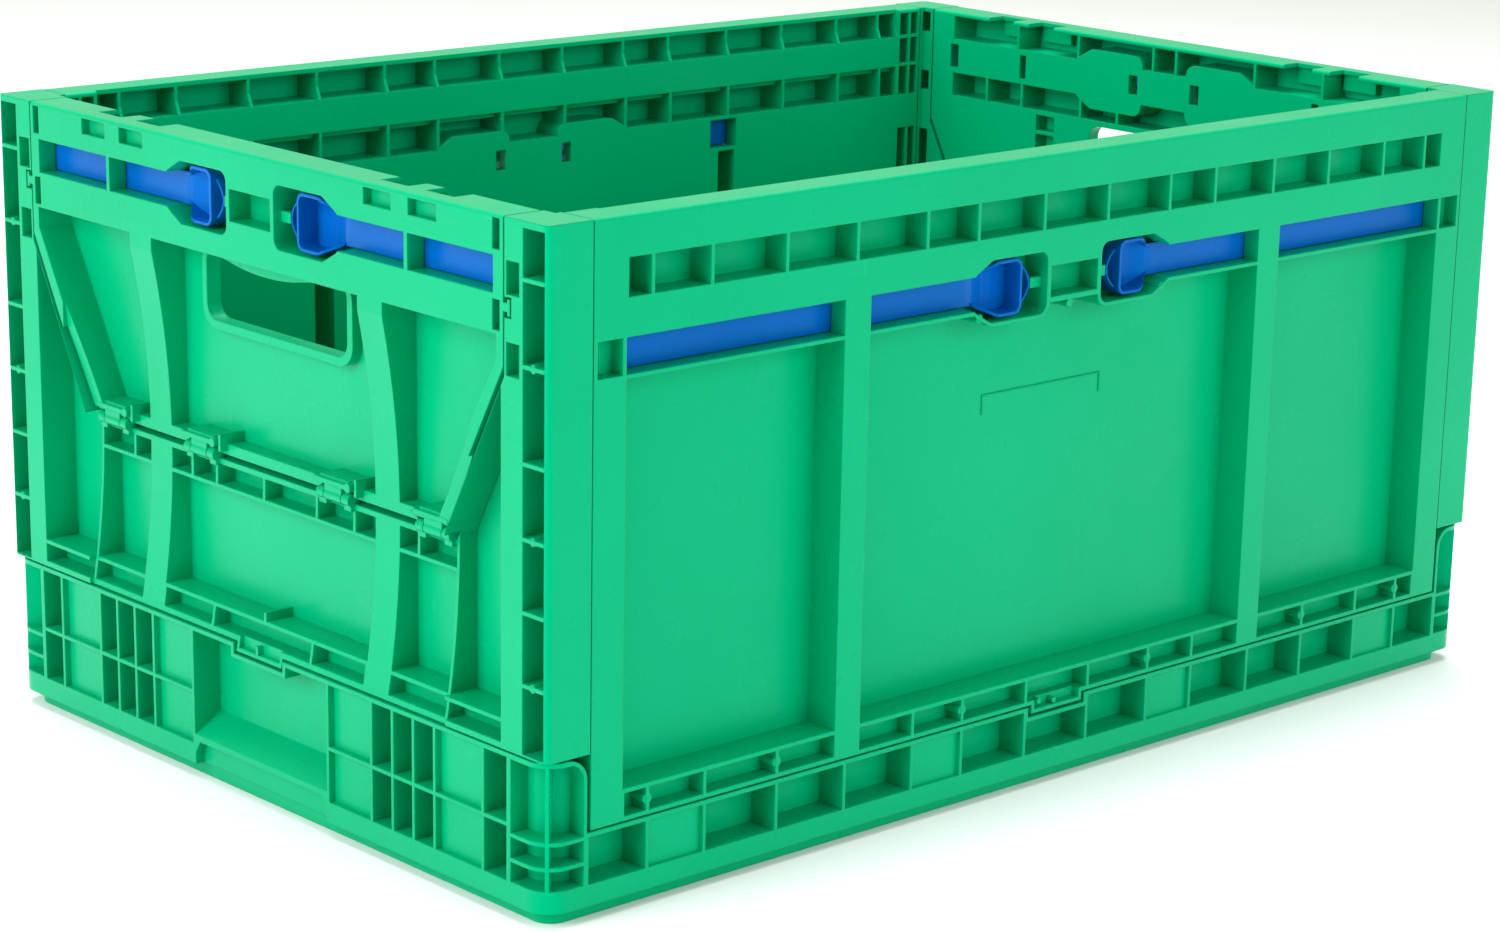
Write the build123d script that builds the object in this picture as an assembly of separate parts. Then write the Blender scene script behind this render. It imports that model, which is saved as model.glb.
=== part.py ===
from build123d import *
import os

# Folding storage crate, 600 x 400 footprint. Millimetres, +Z up, origin at the centre of the
# underside. Every wall is modelled in one "wall frame": u runs along the wall, v is the depth
# measured inward from the wall's outer rib faces, z is up. place_* then turns the wall to its side.

# ---- driving dimensions -------------------------------------------------------------------
LENGTH = 600.0
WIDTH = 400.0
HEIGHT = 292.0
WALL_DEPTH = 20.0  # outer rib faces to inner skin
SKIN = 2.4
RIB = 1.8
FOOT_HEIGHT = 6.5
FOOT_INSET = 6.0
FLOOR_TOP = 10.5
FRONT_RIM = 38.6  # top of the base's low long side
BACK_RIM = 59.1  # top of the base's high long side, so that one wall folds over the other
END_RIM = 71.5  # top of the base's short sides
SEAM = 0.9  # gap under each folding wall
POST = 21.7  # width of the base's corner post on the long sides
SHOULDER = 10.0  # round where a post turns down to the long side's rim
CORNER_RADIUS = 12.0
CORNER_DEPTH = 9.0  # corner pockets, from the outer faces to the inner corner skin
EDGE_ROUND = 1.4  # radius along the upper rims

HINGE_DEPTH = WALL_DEPTH - 4.0  # fold axis, measured in from the outer faces
HINGE_RADIUS = 4.0
TRUNNION_RADIUS = 2.4
EAR_CLEARANCE = 0.8
RUNNING = 0.05  # radial clearance of a pin in its ear
LONG_HINGE_RISE = 5.5  # fold axis above the lower edge of a long wall
END_HINGE_RISE = 12.6
LONG_HINGE_STATIONS = [-205.0, -75.0, 75.0, 205.0]
END_HINGE_STATIONS = [-177.6, -84.5, 84.5, 177.6]
LONG_KNUCKLE = (8.0, 8.8, 13.6)  # half width of a knuckle, then its ears' inner and outer faces
END_KNUCKLE = (2.4, 3.0, 5.6)

# long walls: rib lines, mirrored about the middle
LONG_LINES = [20.5, 61.5, 92.5, 133.5, 173.5, 214.5, 246.0]
LONG_POCKET_END = 259.5
LONG_HALF = LENGTH / 2 - 23.5
LONG_POST = [125.0, 140.0]  # broad upright ribs, hollow on their inner side
LONG_LATCH_Z = 235.2

# end walls
SEAM_U = 173.0  # top seam between flap and corner column
COLUMN_RETURN = 23.0  # column's reach along the long side
COLUMN_ROUND = 3.0
FLAP_HALF = 172.4
HIP_Z = 231.5  # where the flap's edge turns inward
FLAP_FOOT_HALF = 129.5
FLAP_AXIS_Z = 152.0
FLAP_AXIS_V = 7.5
BARREL_RADIUS = 2.8
WAIST_DEPTH = 8.5  # ribs of the end walls stand back by this much at the hinge line
WAIST_HALF_CHORD = 86.0
WAIST_WIDTH = 134.0
GUSSET_RIB = 132.6  # upright rib beside the outer clips
COLUMN_LEVELS = [102.5, 133.0, 163.5, 194.4, 233.8, 268.6]
CATCHES = [(81.0, 99.5), (111.0, 129.5)]  # small pockets under the flap's rim
FLAP_PIN_RADIUS = 1.3
CLIP_CENTRES = [-119.5, -50.0, 50.0, 119.5]
END_RIB = [76.0, 93.0]
FLAP_LATCH_Z = 267.9

# sliding latches
LATCH_HALF_HEIGHT = 7.25
CHANNEL_HALF = 7.6
BAR_FRONT = 9.0
BAR_BACK = 11.6
CUP_RIM = 2.0  # depths of the cup's rim and back
CUP_BACK = 13.4
STOP_FRONT = 4.0  # depth of the spring's stop finger
STOP_TIP = 24.4
CUP_INNER = 31.5
CUP_OUTER = 46.0  # where the cup starts to narrow
CUP_END = 57.0  # where it has narrowed to the bar
CUP_HALF = 12.5
WINDOW_INNER = 17.5
LATCH_SETBACK = 0.6  # bolt tip inside the wall's edge when the latch stands clear
THROW = 5.0


# ---- small helpers ------------------------------------------------------------------------
def cell(u0, u1, v0, v1, z0, z1):
    """Box between two corners of the wall frame."""
    centre = Pos((u0 + u1) / 2, (v0 + v1 - WIDTH) / 2, (z0 + z1) / 2)
    return centre * Box(u1 - u0, v1 - v0, z1 - z0)


def cells(u0, u1, v0, v1, z0, z1):
    """The same box on both halves of the wall."""
    return [cell(u0, u1, v0, v1, z0, z1), cell(-u1, -u0, v0, v1, z0, z1)]


def through_wall(face, v0, v1):
    """Extrudes a face drawn in u, z through the depths v0 to v1."""
    plane = Plane((0, (v0 + v1 - WIDTH) / 2, 0), x_dir=(1, 0, 0), z_dir=(0, -1, 0))
    return extrude(plane * face, (v1 - v0) / 2, both=True)


def outline(points, v0, v1, rounding=0.0):
    """Extrudes an outline in u, z through the depths v0 to v1."""
    face = Polygon(*points, align=None)
    if rounding:
        face = fillet(face.vertices(), rounding)
    return through_wall(face, v0, v1)


def section(points, u0, u1):
    """Extrudes an outline in v, z along the wall from u0 to u1."""
    plane = Plane(((u0 + u1) / 2, -WIDTH / 2, 0), x_dir=(0, 1, 0), z_dir=(1, 0, 0))
    return extrude(plane * Polygon(*points, align=None), (u1 - u0) / 2, both=True)


def rod(u0, u1, v, z, radius):
    """Round bar along the wall."""
    middle = Pos((u0 + u1) / 2, v - WIDTH / 2, z)
    return middle * Rot(0, 90, 0) * Cylinder(radius, u1 - u0)


def peg(u, z, v0, v1, radius):
    """Round bar through the wall's depth."""
    return Pos(u, (v0 + v1 - WIDTH) / 2, z) * Rot(90, 0, 0) * Cylinder(radius, v1 - v0)


def flipped(points):
    """An outline's mirror image."""
    return [(-u, z) for u, z in reversed(points)]


def both_sides(lines):
    """Rib lines on both halves, in order."""
    return sorted([-line for line in lines] + list(lines))


def bays(lines, rib=RIB):
    """Spaces between neighbouring ribs that stand on the given lines."""
    return [(a + rib / 2, b - rib / 2) for a, b in zip(lines, lines[1:])]


def place_front(part):
    return part


def place_back(part):
    return Rot(0, 0, 180) * part


def place_left(part):
    return Pos(-(LENGTH - WIDTH) / 2, 0, 0) * Rot(0, 0, -90) * part


def place_right(part):
    return Pos((LENGTH - WIDTH) / 2, 0, 0) * Rot(0, 0, 90) * part


def save(part, name):
    part.label = name
    export_step(part, os.path.join("parts", name + ".step"))


# ---- shared hinge hardware ----------------------------------------------------------------
def hinge_clearance(stations, knuckle, z0, rise):
    """Room in a wall's lower inner edge for the base's ears."""
    half, _, ear_outer = knuckle
    top = z0 + rise + HINGE_RADIUS + 0.6
    room = []
    for u in stations:
        for side in (-1, 1):
            a = u + side * half
            b = u + side * (ear_outer + EAR_CLEARANCE)
            room.append(cell(min(a, b), max(a, b), 10.5, WALL_DEPTH + 1, z0 - 7, top))
    return room


def hinge_trunnions(stations, knuckle, z):
    """A wall's trunnion pins, one pair at each knuckle."""
    reach = knuckle[2]
    return [rod(u - reach, u + reach, HINGE_DEPTH, z, TRUNNION_RADIUS) for u in stations]


def hinge_ears(stations, knuckle, z, foot):
    """Pairs of bored ears that rise from the base and hold the trunnions."""
    _, inner, outer = knuckle
    ears = []
    bores = []
    half = HINGE_RADIUS - 0.2
    for u in stations:
        for a, b in ((u - outer, u - inner), (u + inner, u + outer)):
            ears.append(cell(a, b, HINGE_DEPTH - half, HINGE_DEPTH + half, foot, z))
            ears.append(rod(a, b, HINGE_DEPTH, z, half))
            bores.append(rod(a - 1, b + 1, HINGE_DEPTH, z, TRUNNION_RADIUS + RUNNING))
    return ears, bores


# ---- latch openings -----------------------------------------------------------------------
def cup_window(z, grow=0.0):
    """Outline of the opening that a finger cup slides in, or of a lip that much outside it."""
    tall = CUP_HALF + 1.4 + grow
    slim = CHANNEL_HALF + grow
    near = WINDOW_INNER - grow
    shoulder = CUP_OUTER + THROW + 1
    end = CUP_END + THROW + 1.5
    return [
        (near, z - tall),
        (shoulder, z - tall),
        (end, z - slim),
        (end, z + slim),
        (shoulder, z + tall),
        (near, z + tall),
    ]


def window_shapes(z, v0, v1, grow=0.0, rounding=4.5):
    """A wall's two cup openings, or their lips, as solids from depth v0 to v1."""
    points = cup_window(z, grow)
    return [outline(half, v0, v1, rounding) for half in (points, flipped(points))]


def latch_openings(z, windows, edge):
    """Channel, windows, cup openings, middle pocket and peep holes of one wall's two latches."""
    cut = cells(60, edge + 1, BAR_FRONT - 0.3, BAR_BACK + 0.4, z - CHANNEL_HALF, z + CHANNEL_HALF)
    cut += window_shapes(z, -1, 14)
    for a, b in windows:
        cut += cells(a, b, -1, BAR_FRONT, z - CHANNEL_HALF, z + CHANNEL_HALF)
    cut.append(cell(-15, 15, -1, 11, z - 7, z + 7))
    cut += cells(18.4, 24.6, 13, WALL_DEPTH + 1, z - 4.6, z + 5.6)
    return cut


def spring_stops(z):
    """Flat finger in each cup opening that the latch's leaf spring bears on."""
    return cells(WINDOW_INNER - 0.4, STOP_TIP, STOP_FRONT, STOP_FRONT + 3, z - 2.6, z + 2.2)


# ---- base ---------------------------------------------------------------------------------
def base_shell():
    """Floor, four hollow-ribbed sides and corner posts, before the pockets are cut."""
    sides = extrude(RectangleRounded(LENGTH, WIDTH, CORNER_RADIUS), END_RIM - FOOT_HEIGHT)
    sides = Pos(0, 0, FOOT_HEIGHT) * sides
    inside = Pos(0, 0, FLOOR_TOP + 50) * Box(LENGTH - 2 * WALL_DEPTH, WIDTH - 2 * WALL_DEPTH, 100)
    post_line = LENGTH / 2 - POST
    front_gap = cell(-post_line, post_line, -1, WALL_DEPTH + 0.1, FRONT_RIM, END_RIM + 1)
    back_gap = place_back(cell(-post_line, post_line, -1, WALL_DEPTH + 0.1, BACK_RIM, END_RIM + 1))
    return sides - [inside, front_gap, back_gap]


def shoulder_corner(side, radius, depth):
    """What lies outside a quarter round at the inner top corner of a post."""
    line = side * (LENGTH / 2 - POST)
    centre = side * (LENGTH / 2 - POST + SHOULDER)
    block = cell(min(line, centre), max(line, centre), -1, depth, END_RIM - SHOULDER, END_RIM + 1)
    return block - peg(centre, END_RIM - SHOULDER, -2, depth + 1, radius)


def corner_pockets():
    """Cells that wrap round each vertical corner of the base, with one upright fin on the corner."""
    core = RectangleRounded(LENGTH - 2 * CORNER_DEPTH, WIDTH - 2 * CORNER_DEPTH, CORNER_RADIUS)
    solid_core = extrude(core, HEIGHT)
    reach_x = POST - RIB
    reach_y = WIDTH / 2 - 177.3
    fin = Pos(-LENGTH / 2 + CORNER_DEPTH / 2, -WIDTH / 2 + CORNER_DEPTH / 2, HEIGHT / 2)
    fin = fin * Rot(0, 0, 45) * Box(3 * CORNER_DEPTH, RIB, HEIGHT)
    cut = []
    for z0, z1 in ((37.6, END_RIM - 2.2), (26.8, 35.8), (16.4, 25.0)):
        spot = Pos(-LENGTH / 2 + reach_x / 2 - 1, -WIDTH / 2 + reach_y / 2 - 1, (z0 + z1) / 2)
        block = spot * Box(reach_x + 2, reach_y + 2, z1 - z0)
        block = block - [solid_core, fin, shoulder_corner(-1, SHOULDER - RIB, CORNER_DEPTH + 1)]
        for part in (block, mirror(block, about=Plane.YZ)):
            cut += [part, mirror(part, about=Plane.XZ)]
    return cut


def long_side_pockets(back):
    """Pockets of a long side of the base: two bays in each half are only shallow panels."""
    cut = []
    shallow = [(61.5, 92.5), (214.5, 246.0)]
    rows = [(16, 36.6)]
    if back:
        rows.append((38.6, BACK_RIM - 2))
    lines = both_sides(LONG_LINES + [LENGTH / 2 - POST])
    for a, b in bays(lines):
        is_shallow = any(lo < abs(a + b) / 2 < hi for lo, hi in shallow)
        for z0, z1 in rows:
            top = min(z1, 31.8) if abs(a + b) < 1 and not back else z1
            cut.append(cell(a, b, -1, 2 if is_shallow else 15, z0, top))
    rim = BACK_RIM if back else FRONT_RIM
    cut.append(cell(-18.5, 18.5, -1, 7, rim - 4.8, rim + 1))
    cut.append(cell(-LENGTH / 2 + POST, LENGTH / 2 - POST, 9, WALL_DEPTH + 1, rim - 2.1, rim + 1))
    return cut


def end_side_pockets():
    """Grid of a short side of the base, with the hand recess in its middle."""
    cut = []
    grid = [
        (51.2, 82.6, 3),
        (82.6, 97.5, 15),
        (97.5, 112.0, 15),
        (112.0, 126.5, 15),
        (126.5, 159.0, 3),
        (159.0, 175.5, 15),
    ]
    for a, b, depth in grid:
        for z0, z1 in ((16.2, 39.8), (41.6, END_RIM - 2)):
            cut += cells(a + RIB / 2, b - RIB / 2, -1, depth, z0, z1)
    recess = section([(-1, 20), (14, 29.5), (14, END_RIM - 2), (-1, END_RIM - 2)], -50.3, 50.3)
    recess -= cell(-20.5, 20.5, -2, 8, END_RIM - 7, END_RIM)
    cut.append(recess)
    cut.append(cell(-18.5, 18.5, -1, 6, END_RIM - 5, END_RIM + 1))
    under_grip = [(-50, 0), (50, 0), (50, 12), (46.5, 17.6), (-46.5, 17.6), (-50, 12)]
    cut.append(outline(under_grip, -1, 4.4))
    return cut


def base_foot():
    """Foot: a ring under the floor with a lattice of ribs inside."""
    length = LENGTH - 2 * FOOT_INSET
    width = WIDTH - 2 * FOOT_INSET
    wall = 8.0
    ring = extrude(RectangleRounded(length, width, 9), FOOT_HEIGHT)
    ring -= Pos(0, 0, -1) * extrude(RectangleRounded(length - 2 * wall, width - 2 * wall, 8), 20)
    rib_height = FOOT_HEIGHT - 0.5
    level = FOOT_HEIGHT - rib_height / 2 + 0.2
    ribs = [Pos(x, 0, level) * Box(2, width - wall, rib_height) for x in range(-240, 241, 60)]
    ribs += [Pos(0, y, level) * Box(length - wall, 2, rib_height) for y in range(-120, 121, 60)]
    return [ring] + ribs


def base_tray():
    cut = corner_pockets() + long_side_pockets(False)
    for side in (-1, 1):
        shoulder = shoulder_corner(side, SHOULDER, WALL_DEPTH)
        cut += [shoulder, place_back(shoulder)]
    cut += [place_back(c) for c in long_side_pockets(True)]
    for c in end_side_pockets():
        cut += [place_left(c), place_right(c)]
    tray = base_shell() - cut
    add = base_foot()
    bores = []
    for place, rim, rise, stations, knuckle in (
        (place_front, FRONT_RIM, LONG_HINGE_RISE, LONG_HINGE_STATIONS, LONG_KNUCKLE),
        (place_back, BACK_RIM, LONG_HINGE_RISE, LONG_HINGE_STATIONS, LONG_KNUCKLE),
        (place_left, END_RIM, END_HINGE_RISE, END_HINGE_STATIONS, END_KNUCKLE),
        (place_right, END_RIM, END_HINGE_RISE, END_HINGE_STATIONS, END_KNUCKLE),
    ):
        ears, holes = hinge_ears(stations, knuckle, rim + SEAM + rise, rim - 6)
        add += [place(e) for e in ears]
        bores += [place(h) for h in holes]
    return (tray + add) - bores


# ---- long walls ---------------------------------------------------------------------------
def long_wall_inside(shelf):
    """Inner face of a long wall: set-back rim ribs, second row of cells, hollow posts, latch holes."""
    face = WALL_DEPTH + 1
    lines = both_sides(LONG_LINES + [LONG_POCKET_END])
    cut = [cell(a, b, SKIN, face, 276.8, HEIGHT - 2.2) for a, b in bays(lines)]
    rim_step = [(17.4, HEIGHT + 1), (face, HEIGHT + 1), (face, 276.0), (WALL_DEPTH, 276.8), (17.4, 283.0)]
    cut.append(section(rim_step, -LONG_POCKET_END, LONG_POCKET_END))
    for a, b in bays(lines):
        row = cell(a, b, SKIN, face, 244.6, 257.4) + cell(a, b, 14.8, face, 257, 260.4)
        cut.append(row - window_shapes(LONG_LATCH_Z, 0, face, 1.7, 5.5))
    for a, b in ((LONG_POCKET_END + RIB, 267.8), (269.6, 274.7)):
        for z0, z1 in ((shelf, 225.8), (244.6, 260.4), (262.2, 276.0), (277.8, HEIGHT - 2.2)):
            cut += cells(a, b, SKIN, face, z0, z1)
    cut += cells(LONG_POST[0] + RIB, LONG_POST[1] - RIB, SKIN, face, shelf, 225.8)
    cut += cells(121, 139.4, BAR_BACK, face, LONG_LATCH_Z - CHANNEL_HALF, LONG_LATCH_Z + CHANNEL_HALF)
    return cut


def long_wall(z0):
    """Long wall whose lower edge stands at z0."""
    wall = cell(-LONG_HALF, LONG_HALF, 0, WALL_DEPTH, z0, HEIGHT)
    wall = fillet(wall.edges().filter_by(Axis.X).group_by(Axis.Z)[-1], EDGE_ROUND)
    wall += cell(-16.5, 16.5, 0, 6, z0 - 4.2, z0 + 1)
    top_lines = both_sides(LONG_LINES + [LONG_POCKET_END])
    shelf = z0 + 14
    back = WALL_DEPTH - SKIN
    panel_top = LONG_LATCH_Z - CHANNEL_HALF - RIB
    cut = [cell(a, b, -1, 13, 259, 275) for a, b in bays(top_lines)]
    cut += long_wall_inside(shelf)
    windows = [(60, LONG_POST[0]), (LONG_POST[1], LONG_POCKET_END)]
    cut += latch_openings(LONG_LATCH_Z, windows, LONG_HALF)
    cut += cells(261.5, 274.5, -1, 7.4, LONG_LATCH_Z - CHANNEL_HALF, LONG_LATCH_Z + CHANNEL_HALF)
    panel = cell(-LONG_POST[0], LONG_POST[0], -1, back, shelf, panel_top)
    cut.append(panel - window_shapes(LONG_LATCH_Z, -2, back + 1, 1.8, 6))
    cut += cells(LONG_POST[1], LONG_POCKET_END, -1, back, shelf, panel_top)
    low_lines = [line for line in LONG_LINES if line < LONG_POST[0]] + [LONG_POST[0] + RIB / 2]
    side_bays = bays(low_lines) + bays([LONG_POST[1] - RIB / 2] + LONG_LINES[4:] + [LONG_POCKET_END])
    for a, b in side_bays:
        cut += cells(a, b, -1, 9, z0 + 2, z0 + 12)
    middle = LONG_LINES[0] - RIB / 2
    cut.append(cell(-middle, middle, -1, 9, z0 + 2, z0 + 12))
    cut.append(cell(-14.7, 14.7, -1, 4.2, z0 - 2.4, z0 + 3))
    cut += hinge_clearance(LONG_HINGE_STATIONS, LONG_KNUCKLE, z0, LONG_HINGE_RISE)
    wall -= cut
    add = hinge_trunnions(LONG_HINGE_STATIONS, LONG_KNUCKLE, z0 + LONG_HINGE_RISE)
    add += [peg(side * u, z0 + 7, 0.2, 9.5, 2.4) for u in (61.5, 173.5, 246.0) for side in (-1, 1)]
    add += [peg(-11, z0 + 0.6, 0.6, 4.6, 1.4), peg(-1, z0 - 0.8, 0.6, 4.6, 1.4)]
    add += [peg(u, panel_top - 1.8, 0.5, back, 2.0) for u in (-59.0, -2.0, 59.0)]
    add += spring_stops(LONG_LATCH_Z) + long_panel_frame()
    return wall + add


def long_panel_frame():
    """Faint raised outline on the middle panel."""
    back = WALL_DEPTH - SKIN
    top = 184.0
    half = 38.5
    lines = [cell(-half, half, back - 0.5, back + 0.5, top - 0.8, top)]
    lines += cells(half - 0.8, half, back - 0.5, back + 0.5, top - 9, top)
    return lines


# ---- end frames ---------------------------------------------------------------------------
def waist(half_width):
    """Large round along the hinge line: ribs stand back there so that the clips lie nearly flush."""
    radius = (WAIST_HALF_CHORD**2 + WAIST_DEPTH**2) / (2 * WAIST_DEPTH)
    return rod(-half_width, half_width, WAIST_DEPTH - radius, FLAP_AXIS_Z, radius)


def waist_ends():
    """Shallower rounds of the hinge line, beyond the posts."""
    half_chord = 60.0
    depth = 4.0
    radius = (half_chord**2 + depth**2) / (2 * depth)
    return [rod(a, b, depth - radius, FLAP_AXIS_Z, radius) for a, b in ((-150, -106), (106, 150))]


def columns():
    """Two corner columns, each turned round on to the long side."""
    low = END_RIM + SEAM
    half = WIDTH / 2
    parts = cells(SEAM_U + 0.2, half, 0, WALL_DEPTH, low, HEIGHT)
    parts += cells(half - WALL_DEPTH, half, 0, COLUMN_RETURN, low, HEIGHT)
    return parts


def column_cuts():
    """Pockets, keeper slots and rounded corner of the two columns."""
    half = WIDTH / 2
    cut = []
    for z0, z1 in bays([END_RIM + SEAM] + COLUMN_LEVELS + [HEIGHT - 2]):
        cut += cells(184.8, half - 2, -1, WALL_DEPTH - SKIN, z0, z1)
    for z in (FLAP_LATCH_Z, LONG_LATCH_Z):
        cut += cells(174.4, 182.6, -1, 6, z - 6.8, z + 6.8)
    reach = THROW + 2
    gap = 0.5
    flap_z = (FLAP_LATCH_Z - CHANNEL_HALF - gap, FLAP_LATCH_Z + CHANNEL_HALF + gap)
    cut += cells(SEAM_U - 1, SEAM_U + reach, BAR_FRONT - 0.8, BAR_BACK + 0.9, *flap_z)
    wall_z = (LONG_LATCH_Z - CHANNEL_HALF - gap, LONG_LATCH_Z + CHANNEL_HALF + gap)
    keeper_u = (half - BAR_BACK - 0.9, half - BAR_FRONT + 0.8)
    cut += cells(*keeper_u, COLUMN_RETURN - reach, COLUMN_RETURN + 1, *wall_z)
    cut += cells(SEAM_U - 1, SEAM_U + 4.6, -1, 3.4, 251.6, 260.0)
    for z0, z1 in ((160.0, 224.0), (246.5, 257.0), (279.0, HEIGHT - 2.2)):
        cut += cells(175.2, 182.8, 8, WALL_DEPTH + 1, z0, z1)
    corners = cells(half - COLUMN_ROUND, half + 1, -1, COLUMN_ROUND, END_RIM, HEIGHT + 1)
    for side, corner in zip((1, -1), corners):
        centre = Pos(side * (half - COLUMN_ROUND), COLUMN_ROUND - half, HEIGHT / 2)
        cut.append(corner - centre * Cylinder(COLUMN_ROUND, 2 * HEIGHT))
    return cut


def end_frame():
    """Lower end panel, gussets and corner columns in one moulding."""
    low = END_RIM + SEAM
    top = FLAP_AXIS_Z - 1.7
    inner = SEAM_U - 2
    back = WALL_DEPTH - SKIN
    gusset = [(SEAM_U + 1, low), (SEAM_U + 1, HIP_Z - 2), (FLAP_FOOT_HALF + 2.2, top), (0, top), (0, low)]
    frame = cell(-SEAM_U, SEAM_U, 0, WALL_DEPTH, low, low + 20)
    frame += [outline(gusset, 0, WALL_DEPTH), outline(flipped(gusset), 0, WALL_DEPTH)] + columns()
    frame += cell(-17.0, 17.0, 0, 5, low - 4.4, low + 1)
    shelf = low + 13
    row = (138.4, 147.8)
    rib_in = GUSSET_RIB - RIB / 2
    rib_out = GUSSET_RIB + RIB / 2
    cut = column_cuts()
    side = [(rib_out, shelf), (inner, shelf), (inner, HIP_Z - 8), (rib_out + 3.5, 160.0), (rib_out, 153.0)]
    cut += [outline(side, -1, back), outline(flipped(side), -1, back)]
    cut += cells(END_RIB[1], rib_in, -1, back, shelf, row[0] - RIB)
    cut.append(cell(-END_RIB[0], END_RIB[0], -1, back, shelf, row[0] - RIB))
    row_lines = [-END_RIB[0] - RIB / 2, -60.0, -41.0, -5.0, 34.0, 61.0, END_RIB[0] + RIB / 2]
    cut += [cell(a, b, -1, back, *row) for a, b in bays(row_lines)]
    for a, b in bays([END_RIB[1] - RIB / 2, 106.0, GUSSET_RIB]):
        cut += cells(a, b, -1, back, *row)
    low_row = (-1, 10.6, low + 2.6, shelf - RIB)
    for a, b in bays([-END_RIB[0], -37.0, 37.0, END_RIB[0]]):
        cut.append(cell(a, b, *low_row))
    for a, b in bays([END_RIB[1] - RIB / 2, GUSSET_RIB, inner + RIB / 2]):
        cut += cells(a, b, *low_row)
    cut.append(cell(-15.2, 15.2, -1, 3.4, low - 2.6, low + 4))
    cut += hinge_clearance(END_HINGE_STATIONS, END_KNUCKLE, low, END_HINGE_RISE)
    for u in CLIP_CENTRES:
        cut.append(cell(u - 6.4, u + 6.4, 4, 11.2, FLAP_AXIS_Z - 3.6, FLAP_AXIS_Z))
    cut.append(waist(WAIST_WIDTH))
    frame -= cut
    add = hinge_trunnions(END_HINGE_STATIONS, END_KNUCKLE, low + END_HINGE_RISE)
    add += [cell(-2.4, -0.6, 0.6, 4.6, low - 3, low + 1.2), cell(0.4, 2.2, 3.4, back, shelf - 1, shelf + 4)]
    for level in COLUMN_LEVELS[::2]:
        add += [peg(side * 191.0, level, 0.2, 4, 1.9) for side in (-1, 1)]
    for u in CLIP_CENTRES:
        for a, b in ((u - 11.4, u - 6.4), (u + 6.4, u + 11.4)):
            add.append(rod(a, b, FLAP_AXIS_V, FLAP_AXIS_Z, BARREL_RADIUS))
            add.append(cell(a, b, FLAP_AXIS_V - 1.0, 11.2, top - 3, FLAP_AXIS_Z - 0.4))
        add.append(rod(u - 11.4, u + 11.4, FLAP_AXIS_V, FLAP_AXIS_Z, FLAP_PIN_RADIUS))
    return frame + add


# ---- end flaps ----------------------------------------------------------------------------
def flap_clip(u):
    """Snap clip: a bored barrel under a plate, with a round hook and a fin beside it where the
    wall is wide enough."""
    back = WALL_DEPTH - SKIN + 0.2
    front = 3.8
    plate_z = FLAP_AXIS_Z + 5.2
    add = [rod(u - 6, u + 6, FLAP_AXIS_V, FLAP_AXIS_Z, BARREL_RADIUS)]
    add.append(cell(u - 6, u + 6, FLAP_AXIS_V - 2.2, FLAP_AXIS_V + 2.5, FLAP_AXIS_Z, plate_z + 1))
    add.append(cell(u - 11.8, u + 11.8, front, back, plate_z, plate_z + 2.2))
    add.append(cell(u - 9, u + 11.8, front + 1.6, back, plate_z + 2, plate_z + 3.4))
    if u + 18 < FLAP_FOOT_HALF:
        add.append(peg(u + 12.6, plate_z + 1.2, front - 0.4, back, 2.1))
        add.append(cell(u + 16.0, u + 17.8, front + 0.8, back, FLAP_AXIS_Z + 3, plate_z + 5.4))
    return add


def hand_hole():
    """Rounded hand hole and the raised flange round it, as (flange, hole)."""
    flange = Pos(0, 0, 226.0) * through_wall(RectangleRounded(111, 38.4, 10), 12.5, WALL_DEPTH)
    hole = Pos(0, 0, 226.9) * through_wall(RectangleRounded(103.4, 32.2, 7), 9, WALL_DEPTH + 1)
    return flange, hole


def flap_bulge():
    """Smooth downward bulge of the top bar's lower band, over the hand hole."""
    low = 239.0
    curve = Spline((-58, 244), (-20, low), (20, low), (58, 244), tangents=((1, 0), (1, 0)))
    edge = Polyline((58, 244), (58, 250), (-58, 250), (-58, 244))
    return through_wall(make_face([curve, edge]), 8, WALL_DEPTH)


def flap_inside():
    """Inner face of an end flap: deep cells above and below the latch channel, and hollow posts."""
    face = WALL_DEPTH + 1
    covers = window_shapes(FLAP_LATCH_Z, 0, face, 2.2, 6)
    catch_boxes = []
    cut = []
    for a, b in CATCHES:
        catch_boxes += cells(a - 1.2, b + 1.2, 0, 6.6, 281.4, HEIGHT)
        cut += cells(a, b, 9, face, 285.4, HEIGHT + 1)
    for a, b in bays([-157.0, -107.0, -62.0, -8.0, 8.0, 62.0, 107.0, 157.0]):
        cut.append(cell(a, b, SKIN, face, 277.4, HEIGHT - 2.2) - (covers + catch_boxes))
    for a, b in bays([-157.0, -129.5, -102.8, -59.0, -32.0, 32.0, 59.0, 102.8, 129.5, 157.0]):
        cut.append(cell(a, b, SKIN, face, 246.0, 258.5) - covers)
    for a, b in ((100.6, 105.0), (152.4, 158.4)):
        cut += cells(a, b, BAR_BACK, face, FLAP_LATCH_Z - 6.4, FLAP_LATCH_Z + 6.4)
    for z0, z1 in ((160.0, 233.0), (235.0, 243.4)):
        cut += cells(END_RIB[0] + RIB, END_RIB[1] - RIB, 11.4, face, z0, z1)
    return cut


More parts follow.
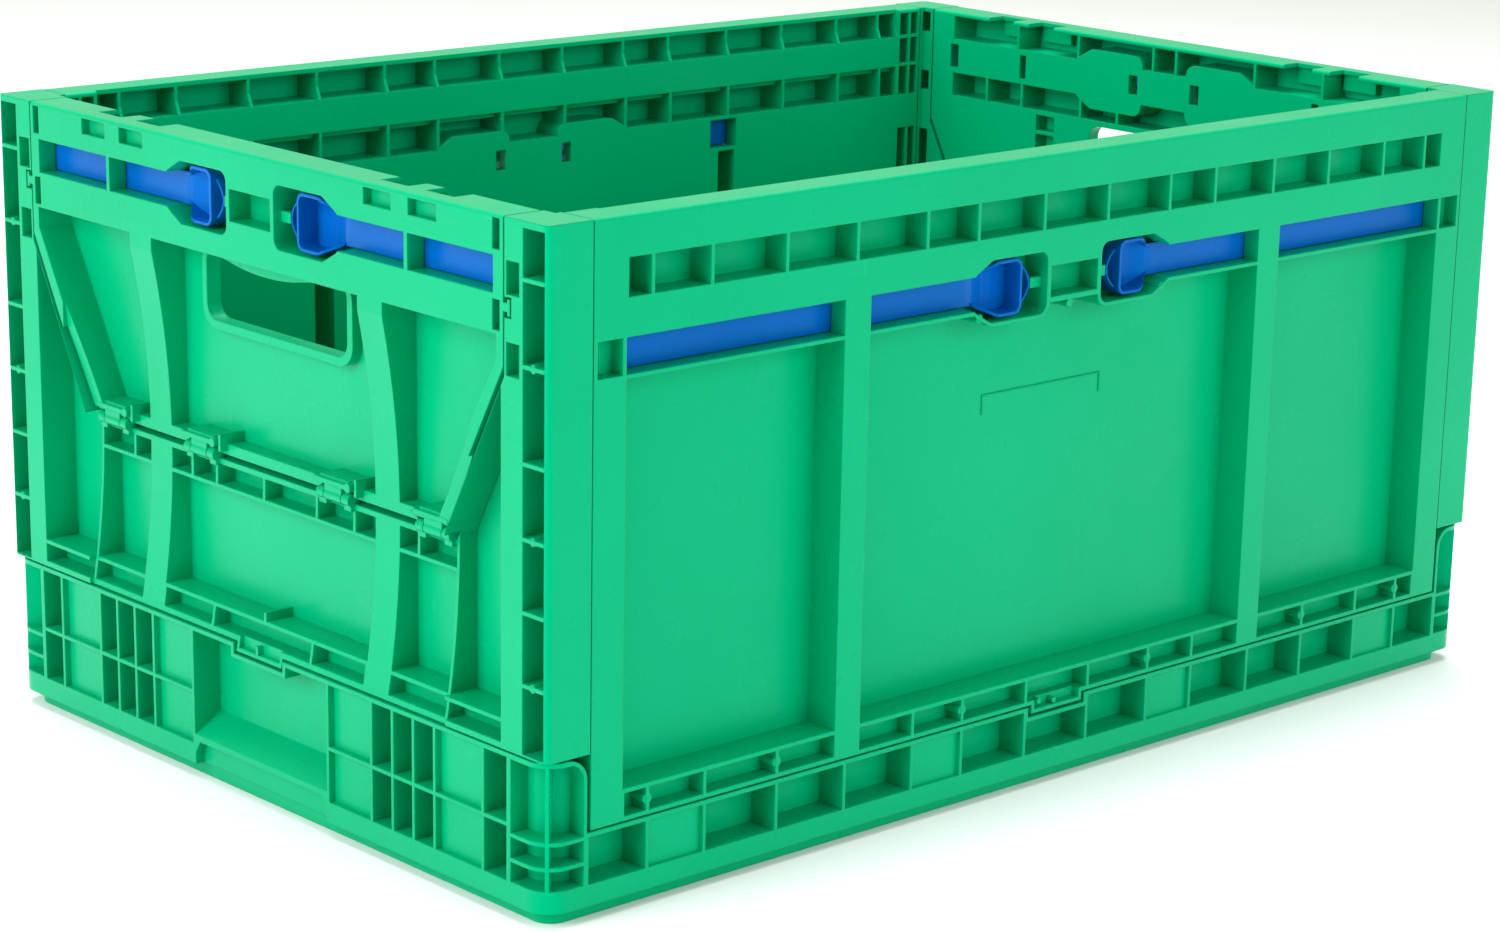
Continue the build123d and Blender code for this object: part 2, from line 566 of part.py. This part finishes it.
def end_flap():
    """Upper half of an end wall: swings outward about the clips along its lower edge."""
    low = FLAP_AXIS_Z + 1
    half = [(FLAP_HALF, HEIGHT), (FLAP_HALF, HIP_Z), (FLAP_FOOT_HALF, low)]
    body = half[::-1] + flipped(half)[::-1]
    flap = outline(body, 0, WALL_DEPTH)
    flap = fillet(flap.edges().filter_by(Axis.X).group_by(Axis.Z)[-1], EDGE_ROUND)
    back = WALL_DEPTH - SKIN
    band = 244.0
    floor = low + 5
    cut = flap_inside()
    for a, b in CATCHES:
        cut += cells(a, b, -1, 4, 283, 290)
    cut += cells(165.6, 170.2, -1, 8, 278, 290.5)
    cut += cells(165.6, 170.2, -1, 8, 245.5, 258)
    cut += latch_openings(FLAP_LATCH_Z, [(60, 108), (110.4, 166)], FLAP_HALF)
    centre = cell(-END_RIB[0], END_RIB[0], -1, back, floor, band)
    cut.append(centre - flap_bulge())
    side = [(END_RIB[1], floor), (124.6, floor), (168.0, HIP_Z + 3), (168.0, band), (END_RIB[1], band)]
    cut += [outline(side, -1, back), outline(flipped(side), -1, back)]
    cut.append(waist(106.0))
    cut += waist_ends()
    swing = [(0, low - 1), (FLAP_AXIS_V, low - 1), (FLAP_AXIS_V, low), (4.9, low + 4.6), (0, low + 4.6)]
    cut.append(section(swing, -150, 150))
    for u in CLIP_CENTRES:
        for a, b in ((u - 11.8, u - 6), (u + 6, u + 11.8)):
            cut.append(cell(a, b, 4, 11.4, low - 1, low + 2.6))
    flap -= cut
    flange, hole = hand_hole()
    add = [flange] + cells(FLAP_HALF - 0.4, 176.0, 0, 3, 254, 257.6)
    add += cells(175.0, 176.6, 0, 3, 252.4, 259.2)
    add += spring_stops(FLAP_LATCH_Z)
    for u in CLIP_CENTRES:
        add += flap_clip(u)
    bores = [rod(u - 7, u + 7, FLAP_AXIS_V, FLAP_AXIS_Z, FLAP_PIN_RADIUS + RUNNING) for u in CLIP_CENTRES]
    return (flap + add) - (bores + [hole])


# ---- latches ------------------------------------------------------------------------------
def cup_outline(z, inset=0.0, reach=0.0):
    """Outline of a finger cup: rounded towards the wall's middle, narrowing to the bar."""
    tall = CUP_HALF - inset
    taper = (CUP_HALF - LATCH_HALF_HEIGHT) / (CUP_END - CUP_OUTER)
    slim = LATCH_HALF_HEIGHT - inset - reach * taper
    near = CUP_INNER + inset
    end = CUP_END + reach
    return [
        (near, z - tall),
        (CUP_OUTER, z - tall),
        (end, z - slim),
        (end, z + slim),
        (CUP_OUTER, z + tall),
        (near, z + tall),
    ]


def in_front_of(u0, v0, u1, v1, z):
    """Everything in front of a surface that steps from depth v0 at u0 to depth v1 at u1."""
    plane = Plane((0, -WIDTH / 2, z), x_dir=(1, 0, 0), z_dir=(0, 0, 1))
    run = u1 - u0
    step = v1 - v0
    ease = 0.12
    slope = [
        (u0 - 15, -1),
        (u0 - 15, v0),
        (u0, v0),
        (u0 + 0.25 * run, v0 + ease * step),
        (u0 + 0.75 * run, v1 - ease * step),
        (u1, v1),
        (u1 + 9, v1),
        (u1 + 9, -1),
    ]
    return extrude(plane * Polygon(*slope, align=None), 20, both=True)


def latch(z, edge):
    """Sliding latch on the +u half: finger cup, flat bar and bolt tip."""
    tip = edge - LATCH_SETBACK
    low = z - LATCH_HALF_HEIGHT
    high = z + LATCH_HALF_HEIGHT
    bar_points = [
        (CUP_OUTER - 2, z - CUP_HALF),
        (CUP_OUTER, z - CUP_HALF),
        (CUP_END, low),
        (tip - 3, low),
        (tip, low + 3),
        (tip, high - 3),
        (tip - 3, high),
        (CUP_END, high),
        (CUP_OUTER, z + CUP_HALF),
        (CUP_OUTER - 2, z + CUP_HALF),
    ]
    bar = outline(bar_points, BAR_FRONT, BAR_BACK)
    cup = outline(cup_outline(z), CUP_RIM, CUP_BACK, rounding=4.2)
    tab = cell(CUP_INNER - 3.4, CUP_INNER + 1, 8.4, 10, z - 3.4, z - 0.8)
    well = outline(cup_outline(z, 1.4, 4), -1, CUP_BACK, rounding=3.0)
    well = well & in_front_of(44, CUP_BACK - 1.4, 60, BAR_FRONT, z)
    return (bar + [cup, tab]) - [well, in_front_of(45, CUP_RIM, 59, BAR_FRONT, z)]


def latch_spring(z):
    """Bowed leaf spring between a finger cup and the stop finger in its opening."""
    root = CUP_INNER - 1.0
    bow = Spline((root, z - 8.5), (STOP_TIP + 0.8, z - 0.2), (root, z + 8.5))
    return through_wall(trace(bow, 0.9), STOP_FRONT, STOP_FRONT + 3)


def mirrored(part):
    return mirror(part, about=Plane.YZ)


# ---- write every piece --------------------------------------------------------------------
os.makedirs("parts", exist_ok=True)
front_z = FRONT_RIM + SEAM
back_z = BACK_RIM + SEAM
frame_part = end_frame()
flap_part = end_flap()
long_latch = latch(LONG_LATCH_Z, LONG_HALF)
flap_latch = latch(FLAP_LATCH_Z, FLAP_HALF)
long_spring = latch_spring(LONG_LATCH_Z)
flap_spring = latch_spring(FLAP_LATCH_Z)

save(base_tray(), "base_tray")
save(place_front(long_wall(front_z)), "long_wall_front")
save(place_back(long_wall(back_z)), "long_wall_back")
save(place_left(frame_part), "end_frame_left")
save(place_right(frame_part), "end_frame_right")
save(place_left(flap_part), "end_flap_left")
save(place_right(flap_part), "end_flap_right")
for wall, place, plus, minus, bar, leaf in (
    ("front", place_front, "right", "left", long_latch, long_spring),
    ("back", place_back, "left", "right", long_latch, long_spring),
    ("left", place_left, "front", "back", flap_latch, flap_spring),
    ("right", place_right, "back", "front", flap_latch, flap_spring),
):
    save(place(bar), f"latch_{wall}_{plus}")
    save(place(mirrored(bar)), f"latch_{wall}_{minus}")
    save(place(leaf), f"spring_{wall}_{plus}")
    save(place(mirrored(leaf)), f"spring_{wall}_{minus}")
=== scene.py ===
"""Folding storage crate: green ribbed walls and blue sliding latches, on a pale studio floor."""

import math

import bpy
from mathutils import Matrix, Vector


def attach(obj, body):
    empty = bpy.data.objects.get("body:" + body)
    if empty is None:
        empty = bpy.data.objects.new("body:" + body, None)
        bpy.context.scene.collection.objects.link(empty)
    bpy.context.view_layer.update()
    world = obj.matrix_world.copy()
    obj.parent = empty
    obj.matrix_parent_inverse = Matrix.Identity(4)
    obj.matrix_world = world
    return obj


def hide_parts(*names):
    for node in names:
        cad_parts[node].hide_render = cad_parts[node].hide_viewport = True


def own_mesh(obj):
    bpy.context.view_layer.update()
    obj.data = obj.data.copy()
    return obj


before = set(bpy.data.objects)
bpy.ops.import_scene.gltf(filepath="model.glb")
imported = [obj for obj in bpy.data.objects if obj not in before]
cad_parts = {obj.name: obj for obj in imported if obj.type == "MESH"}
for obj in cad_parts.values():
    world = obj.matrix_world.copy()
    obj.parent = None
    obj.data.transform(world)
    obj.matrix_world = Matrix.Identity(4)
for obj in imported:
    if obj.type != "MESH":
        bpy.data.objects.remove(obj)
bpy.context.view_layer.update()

# ---- view ---------------------------------------------------------------------------------
SENSOR = 36.0  # millimetres
FOCAL_SHARE = 2.4777  # focal length in image widths
VIEW_AZIMUTH = math.radians(-43.71)
VIEW_ELEVATION = math.radians(15.86)
VIEW_ROLL = math.radians(1.45)
VIEW_DISTANCE = 1.8082
VIEW_OFFSET = (0.0341, -0.0844)  # sideways and upward, from the line through the aim point
AIM = Vector((0.0, 0.0, 0.15))
SHIFT = (-0.0549, 0.0613)
CLIP_FAR = 50.0


def add_camera():
    """Camera at the reference viewing angle."""
    cos_e, sin_e = math.cos(VIEW_ELEVATION), math.sin(VIEW_ELEVATION)
    sin_a, cos_a = math.sin(VIEW_AZIMUTH), math.cos(VIEW_AZIMUTH)
    back = Vector((sin_a * cos_e, -cos_a * cos_e, sin_e))
    right = Vector((cos_a, sin_a, 0.0))
    up = back.cross(right)
    place = AIM + VIEW_DISTANCE * back + VIEW_OFFSET[0] * right + VIEW_OFFSET[1] * up
    tilted_right = right * math.cos(VIEW_ROLL) + up * math.sin(VIEW_ROLL)
    tilted_up = up * math.cos(VIEW_ROLL) - right * math.sin(VIEW_ROLL)
    data = bpy.data.cameras.new("camera")
    data.sensor_width = SENSOR
    data.lens = FOCAL_SHARE * SENSOR
    data.shift_x, data.shift_y = SHIFT
    data.clip_end = CLIP_FAR
    camera = bpy.data.objects.new("camera", data)
    turn = Matrix((tilted_right, tilted_up, back)).transposed().to_4x4()
    camera.matrix_world = Matrix.Translation(place) @ turn
    bpy.context.scene.collection.objects.link(camera)
    bpy.context.scene.camera = camera


# ---- light --------------------------------------------------------------------------------
SOFTBOX_COLOUR = (0.94, 1.0, 1.08)  # cool key lights against a slightly warm fill
FILL_COLOUR = (1.0, 1.0, 0.82, 1.0)
FILL_STRENGTH = 0.55
LIGHT_AIM = Vector((0.0, 0.0, 0.1))
SOFTBOXES = (  # name, place, (width, height), watts
    ("end_light", (-2.6, 0.1, 1.2), (1.8, 1.8), 76),
    ("side_light", (0.3, -2.8, 1.1), (2.2, 1.6), 48),
    ("top_light", (0.2, 0.4, 2.6), (2.0, 2.0), 90),
)


def add_softbox(name, place, size, watts):
    """Rectangular area light at a place, turned towards the crate."""
    data = bpy.data.lights.new(name, "AREA")
    data.shape = "RECTANGLE"
    data.size, data.size_y = size
    data.energy = watts
    data.color = SOFTBOX_COLOUR
    light = bpy.data.objects.new(name, data)
    direction = LIGHT_AIM - Vector(place)
    turn = direction.to_track_quat("-Z", "Y").to_matrix().to_4x4()
    light.matrix_world = Matrix.Translation(Vector(place)) @ turn
    bpy.context.scene.collection.objects.link(light)


def add_lights():
    """Bright softbox on the short side, a weaker one on the long side, one overhead, and a fill."""
    for softbox in SOFTBOXES:
        add_softbox(*softbox)
    world = bpy.data.worlds.new("studio")
    world.use_nodes = True
    background = world.node_tree.nodes["Background"]
    background.inputs["Color"].default_value = FILL_COLOUR
    background.inputs["Strength"].default_value = FILL_STRENGTH
    bpy.context.scene.world = world


# ---- material helpers ---------------------------------------------------------------------
class Graph:
    """Short way to lay out a material's nodes."""

    def __init__(self, name):
        self.material = bpy.data.materials.new(name)
        self.material.use_nodes = True
        self.nodes = self.material.node_tree.nodes
        self.links = self.material.node_tree.links
        self.shader = self.nodes["Principled BSDF"]

    def node(self, kind, settings=None, **inputs):
        """Adds a node, with its settings and its named inputs."""
        made = self.nodes.new(kind)
        for key, value in (settings or {}).items():
            setattr(made, key, value)
        for key, value in inputs.items():
            self.feed(made.inputs[key], value)
        return made

    def feed(self, socket, value):
        """Links a socket to another, or sets its constant."""
        if isinstance(value, bpy.types.NodeSocket):
            self.links.new(value, socket)
        else:
            socket.default_value = value

    def noise(self, coords, scale, detail=3.0, roughness=0.55):
        made = self.node("ShaderNodeTexNoise", Scale=scale, Detail=detail, Roughness=roughness)
        self.links.new(coords, made.inputs["Vector"])
        return made.outputs[0]

    def math(self, operation, *values):
        made = self.node("ShaderNodeMath", {"operation": operation})
        for socket, value in zip(made.inputs, values):
            self.feed(socket, value)
        return made.outputs[0]

    def remap(self, value, low, high, to_low, to_high):
        made = self.node("ShaderNodeMapRange", {"clamp": True})
        for index, item in enumerate((value, low, high, to_low, to_high)):
            self.feed(made.inputs[index], item)
        return made.outputs[0]

    def mix(self, share, first, second):
        made = self.node("ShaderNodeMix", {"data_type": "RGBA"})
        self.feed(made.inputs[0], share)
        self.feed(made.inputs[6], first)
        self.feed(made.inputs[7], second)
        return made.outputs[2]

    def stretched(self, coords, scale):
        made = self.node("ShaderNodeMapping", {"vector_type": "POINT"})
        self.links.new(coords, made.inputs[0])
        made.inputs["Scale"].default_value = scale
        return made.outputs[0]


# Noise scales are in repeats per metre; a stretch is one scale for each axis.
FLOW_SCALE = 7.0
PATCH_SCALE = 16.0
RIPPLE_SCALE = 24.0
POLISH_SCALE = 30.0
GRAIN_SCALE = 1400.0
UPRIGHT_SCRATCHES = (260.0, 260.0, 22.0)
LEVEL_SCRATCHES = (24.0, 40.0, 420.0)
GLOSSIEST, DULLEST = 0.24, 0.36  # roughness
CORNER_RADIUS = 0.0009  # rounding of corners in the shading only
CORNER_SAMPLES = 4
FLOW_RANGE = (0.35, 0.65)  # noise values between which the tone, a scratch or a patch comes in
UPRIGHT_RANGE = (0.68, 0.76)
LEVEL_RANGE = (0.69, 0.76)
PATCH_RANGE = (0.52, 0.66)
POLISH_RANGE = (0.3, 0.7)
RIPPLE_SHARE = 6.0  # height of the ripple against the grain
BUMP_STRENGTH = 0.03
BUMP_HEIGHT = 0.0004
SPECULAR_LEVEL = 0.22
PLASTIC_IOR = 1.49


def moulded_plastic(name, colour, worn, shade, sheen, scuff_share):
    """Injection-moulded polypropylene: faint flow tone, fine grain, scuffs and hairline scratches."""
    g = Graph(name)
    coords = g.node("ShaderNodeTexCoord").outputs["Object"]
    flow = g.noise(coords, FLOW_SCALE, 2.0)
    tone = g.mix(g.remap(flow, *FLOW_RANGE, 0.0, 1.0), colour, shade)
    scratch_field = g.noise(g.stretched(coords, UPRIGHT_SCRATCHES), 1.0, 3.0)
    cross_field = g.noise(g.stretched(coords, LEVEL_SCRATCHES), 1.0, 3.0)
    patches = g.noise(coords, PATCH_SCALE, 4.0)
    scratches = g.remap(scratch_field, *UPRIGHT_RANGE, 0.0, 1.0)
    crossing = g.remap(cross_field, *LEVEL_RANGE, 0.0, 1.0)
    both = g.math("MAXIMUM", scratches, crossing)
    where = g.remap(patches, *PATCH_RANGE, 0.0, scuff_share)
    scuffs = g.math("MULTIPLY", both, where)
    g.feed(g.shader.inputs["Base Color"], g.mix(scuffs, tone, worn))
    rough = g.remap(g.noise(coords, POLISH_SCALE, 3.0), *POLISH_RANGE, GLOSSIEST, DULLEST)
    g.feed(g.shader.inputs["Roughness"], rough)
    grain = g.noise(coords, GRAIN_SCALE, 2.0)
    ripple = g.noise(coords, RIPPLE_SCALE, 2.0)
    height = g.math("MULTIPLY_ADD", ripple, RIPPLE_SHARE, grain)
    rounded = g.node("ShaderNodeBevel", {"samples": CORNER_SAMPLES}, Radius=CORNER_RADIUS)
    bump = g.node(
        "ShaderNodeBump",
        Strength=BUMP_STRENGTH,
        Distance=BUMP_HEIGHT,
        Height=height,
        Normal=rounded.outputs["Normal"],
    )
    g.feed(g.shader.inputs["Normal"], bump.outputs["Normal"])
    g.shader.inputs["Specular IOR Level"].default_value = SPECULAR_LEVEL
    g.shader.inputs["Specular Tint"].default_value = sheen
    g.shader.inputs["IOR"].default_value = PLASTIC_IOR
    return g.material


CARD_DARK = (0.9, 0.9, 0.9, 1)
CARD_LIGHT = (0.93, 0.93, 0.93, 1)
CARD_TONE_SCALE = 3.0
CARD_TONE_RANGE = (0.3, 0.7)
CARD_ROUGHNESS = 0.85
CARD_SPECULAR = 0.1


def floor_material():
    """Pale seamless studio card with a faint change of tone."""
    g = Graph("studio_card")
    coords = g.node("ShaderNodeTexCoord").outputs["Object"]
    share = g.remap(g.noise(coords, CARD_TONE_SCALE), *CARD_TONE_RANGE, 0.0, 1.0)
    g.feed(g.shader.inputs["Base Color"], g.mix(share, CARD_DARK, CARD_LIGHT))
    g.shader.inputs["Roughness"].default_value = CARD_ROUGHNESS
    g.shader.inputs["Specular IOR Level"].default_value = CARD_SPECULAR
    return g.material


# ---- finishing the moulded pieces ---------------------------------------------------------
FLAT_ANGLE = math.radians(1.0)  # faces nearer to one plane than this are joined
SHARP_ANGLE = math.radians(35.0)  # edges sharper than this are bevelled
MOULDING_EDGE = 0.0007
LATCH_EDGE = 0.0004
SPRING_EDGE = 0.0001


def soften_edges(piece, width):
    """Joins flat faces, bevels sharp edges where their neighbours leave room, and shades smoothly."""
    clean = piece.modifiers.new("flat_faces", "DECIMATE")
    clean.decimate_type = "DISSOLVE"
    clean.angle_limit = FLAT_ANGLE
    bevel = piece.modifiers.new("edge_radius", "BEVEL")
    bevel.width = width
    bevel.segments = 2
    bevel.limit_method = "ANGLE"
    bevel.angle_limit = SHARP_ANGLE
    bevel.use_clamp_overlap = True
    bevel.harden_normals = False
    shade = piece.modifiers.new("shading", "WEIGHTED_NORMAL")
    shade.keep_sharp = False
    for polygon in piece.data.polygons:
        polygon.use_smooth = True


def dress(piece, material, width):
    """Gives a piece its plastic and its edges."""
    piece.data.materials.clear()
    piece.data.materials.append(material)
    soften_edges(piece, width)


def add_leaf_spring(name, node, material):
    """Leaf spring beside a latch's cup, copied from its part and hung on the latch's body."""
    spring = node.copy()
    spring.data = node.data.copy()
    spring.name = "leaf_" + name
    bpy.context.scene.collection.objects.link(spring)
    dress(spring, material, SPRING_EDGE)
    latch = name.replace("spring_", "latch_")
    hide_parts(name)
    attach(spring, latch)
    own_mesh(spring)


FLOOR_HALF = 6.0
FLOOR_LEVEL = -0.0002  # just under the crate's foot


def add_floor():
    corners = [(-1, -1), (1, -1), (1, 1), (-1, 1)]
    points = [(x * FLOOR_HALF, y * FLOOR_HALF, FLOOR_LEVEL) for x, y in corners]
    mesh = bpy.data.meshes.new("floor")
    mesh.from_pydata(points, [], [(0, 1, 2, 3)])
    floor = bpy.data.objects.new("floor", mesh)
    floor.data.materials.append(floor_material())
    bpy.context.scene.collection.objects.link(floor)


# ---- build --------------------------------------------------------------------------------
green = moulded_plastic(
    "crate_green",
    colour=(0.0, 0.34, 0.138, 1),
    worn=(0.08, 0.6, 0.36, 1),
    shade=(0.0, 0.32, 0.127, 1),
    sheen=(0.0, 0.9, 0.9, 1),
    scuff_share=0.18,
)
blue = moulded_plastic(
    "latch_blue",
    colour=(0.0, 0.102, 0.43, 1),
    worn=(0.1, 0.33, 0.68, 1),
    shade=(0.0, 0.09, 0.365, 1),
    sheen=(0.0, 0.55, 1.0, 1),
    scuff_share=0.5,
)
for node_name, node in list(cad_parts.items()):
    if node_name.startswith("spring_"):
        add_leaf_spring(node_name, node, blue)
    elif node_name.startswith("latch_"):
        dress(node, blue, LATCH_EDGE)
    else:
        dress(node, green, MOULDING_EDGE)

add_camera()
add_lights()
add_floor()
bpy.context.scene.view_settings.view_transform = "Standard"
